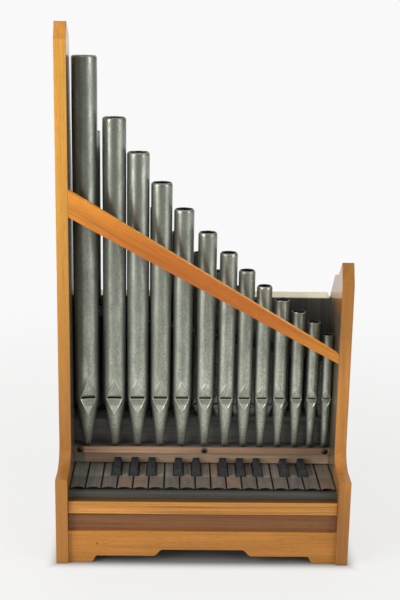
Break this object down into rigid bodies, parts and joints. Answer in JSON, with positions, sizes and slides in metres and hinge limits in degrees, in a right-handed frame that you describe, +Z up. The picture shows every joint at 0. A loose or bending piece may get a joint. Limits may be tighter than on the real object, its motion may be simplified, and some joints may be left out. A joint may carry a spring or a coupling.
{
  "type": "portative organ",
  "caption": "Small standing pipe organ with two rows of metal flue pipes stepping down from left to right, a slanting pipe rail, tall and short side posts and a keyboard with sprung keys.",
  "frame": {"origin": "middle of the floor outline, at floor height", "axes": "+Z up, the keyboard faces -Y, the tall post and the long pipes are at -X"},
  "size_m": [0.413, 0.2074, 0.745],
  "materials": {
    "case_wood": "satin varnish",
    "red_brown_wood": "satin varnish",
    "toe_wood": "matt",
    "dark_wood": "dark stain",
    "natural_wood": "worn dark stain",
    "sharp_wood": "satin black",
    "pipe_metal": "dull tin and lead alloy",
    "dark_steel": "blackened",
    "bright_steel": "drawn",
    "leather": "matt"
  },
  "bodies": {
    "case": {"apron": "case_wood", "back_board": "dark_wood", "batten": "dark_wood", "bellows_board": "case_wood", "bellows_leather": "leather", "channel_block": "dark_wood", "chest_front": "red_brown_wood", "front_pipes_bass": "pipe_metal", "front_pipes_tenor": "pipe_metal", "front_pipes_treble": "pipe_metal", "front_rail": "case_wood", "key_rod": "bright_steel", "key_slip": "dark_wood", "left_cheek": "case_wood", "nameboard": "toe_wood", "pipe_rail": "case_wood", "rear_pipes_bass": "pipe_metal", "rear_pipes_tenor": "pipe_metal", "rear_pipes_treble": "pipe_metal", "rear_step": "dark_wood", "right_cheek": "case_wood", "toe_board": "dark_wood", "toe_strip": "toe_wood", "toe_strip_screws": "dark_steel", "wind_chest": "dark_wood"},
    "natural_01": {"natural_01": "natural_wood"},
    "natural_02": {"natural_02": "natural_wood"},
    "natural_03": {"natural_03": "natural_wood"},
    "natural_04": {"natural_04": "natural_wood"},
    "natural_05": {"natural_05": "natural_wood"},
    "natural_06": {"natural_06": "natural_wood"},
    "natural_07": {"natural_07": "natural_wood"},
    "natural_08": {"natural_08": "natural_wood"},
    "natural_09": {"natural_09": "natural_wood"},
    "natural_10": {"natural_10": "natural_wood"},
    "natural_11": {"natural_11": "natural_wood"},
    "natural_12": {"natural_12": "natural_wood"},
    "natural_13": {"natural_13": "natural_wood"},
    "natural_14": {"natural_14": "natural_wood"},
    "natural_15": {"natural_15": "natural_wood"},
    "natural_16": {"natural_16": "natural_wood"},
    "natural_17": {"natural_17": "natural_wood"},
    "sharp_01": {"sharp_01": "sharp_wood"},
    "sharp_02": {"sharp_02": "sharp_wood"},
    "sharp_03": {"sharp_03": "sharp_wood"},
    "sharp_04": {"sharp_04": "sharp_wood"},
    "sharp_05": {"sharp_05": "sharp_wood"},
    "sharp_06": {"sharp_06": "sharp_wood"},
    "sharp_07": {"sharp_07": "sharp_wood"},
    "sharp_08": {"sharp_08": "sharp_wood"},
    "sharp_09": {"sharp_09": "sharp_wood"},
    "sharp_10": {"sharp_10": "sharp_wood"}
  },
  "joints": [
    {"name": "natural_01_press", "type": "hinge", "parent": "case", "child": "natural_01", "pos_m": [0, 0.03271, 0.1003], "axis": [1, 0, 0], "range_deg": [0, 4], "stiffness_Nm_per_rad": 0.5, "springref_deg": -8.59},
    {"name": "natural_02_press", "type": "hinge", "parent": "case", "child": "natural_02", "pos_m": [0, 0.03271, 0.1003], "axis": [1, 0, 0], "range_deg": [0, 4], "stiffness_Nm_per_rad": 0.5, "springref_deg": -8.59},
    {"name": "natural_03_press", "type": "hinge", "parent": "case", "child": "natural_03", "pos_m": [0, 0.03271, 0.1003], "axis": [1, 0, 0], "range_deg": [0, 4], "stiffness_Nm_per_rad": 0.5, "springref_deg": -8.59},
    {"name": "natural_04_press", "type": "hinge", "parent": "case", "child": "natural_04", "pos_m": [0, 0.03271, 0.1003], "axis": [1, 0, 0], "range_deg": [0, 4], "stiffness_Nm_per_rad": 0.5, "springref_deg": -8.59},
    {"name": "natural_05_press", "type": "hinge", "parent": "case", "child": "natural_05", "pos_m": [0, 0.03271, 0.1003], "axis": [1, 0, 0], "range_deg": [0, 4], "stiffness_Nm_per_rad": 0.5, "springref_deg": -8.59},
    {"name": "natural_06_press", "type": "hinge", "parent": "case", "child": "natural_06", "pos_m": [0, 0.03271, 0.1003], "axis": [1, 0, 0], "range_deg": [0, 4], "stiffness_Nm_per_rad": 0.5, "springref_deg": -8.59},
    {"name": "natural_07_press", "type": "hinge", "parent": "case", "child": "natural_07", "pos_m": [0, 0.03271, 0.1003], "axis": [1, 0, 0], "range_deg": [0, 4], "stiffness_Nm_per_rad": 0.5, "springref_deg": -8.59},
    {"name": "natural_08_press", "type": "hinge", "parent": "case", "child": "natural_08", "pos_m": [0, 0.03271, 0.1003], "axis": [1, 0, 0], "range_deg": [0, 4], "stiffness_Nm_per_rad": 0.5, "springref_deg": -8.59},
    {"name": "natural_09_press", "type": "hinge", "parent": "case", "child": "natural_09", "pos_m": [0, 0.03271, 0.1003], "axis": [1, 0, 0], "range_deg": [0, 4], "stiffness_Nm_per_rad": 0.5, "springref_deg": -8.59},
    {"name": "natural_10_press", "type": "hinge", "parent": "case", "child": "natural_10", "pos_m": [0, 0.03271, 0.1003], "axis": [1, 0, 0], "range_deg": [0, 4], "stiffness_Nm_per_rad": 0.5, "springref_deg": -8.59},
    {"name": "natural_11_press", "type": "hinge", "parent": "case", "child": "natural_11", "pos_m": [0, 0.03271, 0.1003], "axis": [1, 0, 0], "range_deg": [0, 4], "stiffness_Nm_per_rad": 0.5, "springref_deg": -8.59},
    {"name": "natural_12_press", "type": "hinge", "parent": "case", "child": "natural_12", "pos_m": [0, 0.03271, 0.1003], "axis": [1, 0, 0], "range_deg": [0, 4], "stiffness_Nm_per_rad": 0.5, "springref_deg": -8.59},
    {"name": "natural_13_press", "type": "hinge", "parent": "case", "child": "natural_13", "pos_m": [0, 0.03271, 0.1003], "axis": [1, 0, 0], "range_deg": [0, 4], "stiffness_Nm_per_rad": 0.5, "springref_deg": -8.59},
    {"name": "natural_14_press", "type": "hinge", "parent": "case", "child": "natural_14", "pos_m": [0, 0.03271, 0.1003], "axis": [1, 0, 0], "range_deg": [0, 4], "stiffness_Nm_per_rad": 0.5, "springref_deg": -8.59},
    {"name": "natural_15_press", "type": "hinge", "parent": "case", "child": "natural_15", "pos_m": [0, 0.03271, 0.1003], "axis": [1, 0, 0], "range_deg": [0, 4], "stiffness_Nm_per_rad": 0.5, "springref_deg": -8.59},
    {"name": "natural_16_press", "type": "hinge", "parent": "case", "child": "natural_16", "pos_m": [0, 0.03271, 0.1003], "axis": [1, 0, 0], "range_deg": [0, 4], "stiffness_Nm_per_rad": 0.5, "springref_deg": -8.59},
    {"name": "natural_17_press", "type": "hinge", "parent": "case", "child": "natural_17", "pos_m": [0, 0.03271, 0.1003], "axis": [1, 0, 0], "range_deg": [0, 4], "stiffness_Nm_per_rad": 0.5, "springref_deg": -8.59},
    {"name": "sharp_01_press", "type": "hinge", "parent": "case", "child": "sharp_01", "pos_m": [0, 0.03271, 0.1003], "axis": [1, 0, 0], "range_deg": [0, 4], "stiffness_Nm_per_rad": 0.5, "springref_deg": -8.59},
    {"name": "sharp_02_press", "type": "hinge", "parent": "case", "child": "sharp_02", "pos_m": [0, 0.03271, 0.1003], "axis": [1, 0, 0], "range_deg": [0, 4], "stiffness_Nm_per_rad": 0.5, "springref_deg": -8.59},
    {"name": "sharp_03_press", "type": "hinge", "parent": "case", "child": "sharp_03", "pos_m": [0, 0.03271, 0.1003], "axis": [1, 0, 0], "range_deg": [0, 4], "stiffness_Nm_per_rad": 0.5, "springref_deg": -8.59},
    {"name": "sharp_04_press", "type": "hinge", "parent": "case", "child": "sharp_04", "pos_m": [0, 0.03271, 0.1003], "axis": [1, 0, 0], "range_deg": [0, 4], "stiffness_Nm_per_rad": 0.5, "springref_deg": -8.59},
    {"name": "sharp_05_press", "type": "hinge", "parent": "case", "child": "sharp_05", "pos_m": [0, 0.03271, 0.1003], "axis": [1, 0, 0], "range_deg": [0, 4], "stiffness_Nm_per_rad": 0.5, "springref_deg": -8.59},
    {"name": "sharp_06_press", "type": "hinge", "parent": "case", "child": "sharp_06", "pos_m": [0, 0.03271, 0.1003], "axis": [1, 0, 0], "range_deg": [0, 4], "stiffness_Nm_per_rad": 0.5, "springref_deg": -8.59},
    {"name": "sharp_07_press", "type": "hinge", "parent": "case", "child": "sharp_07", "pos_m": [0, 0.03271, 0.1003], "axis": [1, 0, 0], "range_deg": [0, 4], "stiffness_Nm_per_rad": 0.5, "springref_deg": -8.59},
    {"name": "sharp_08_press", "type": "hinge", "parent": "case", "child": "sharp_08", "pos_m": [0, 0.03271, 0.1003], "axis": [1, 0, 0], "range_deg": [0, 4], "stiffness_Nm_per_rad": 0.5, "springref_deg": -8.59},
    {"name": "sharp_09_press", "type": "hinge", "parent": "case", "child": "sharp_09", "pos_m": [0, 0.03271, 0.1003], "axis": [1, 0, 0], "range_deg": [0, 4], "stiffness_Nm_per_rad": 0.5, "springref_deg": -8.59},
    {"name": "sharp_10_press", "type": "hinge", "parent": "case", "child": "sharp_10", "pos_m": [0, 0.03271, 0.1003], "axis": [1, 0, 0], "range_deg": [0, 4], "stiffness_Nm_per_rad": 0.5, "springref_deg": -8.59}
  ]
}
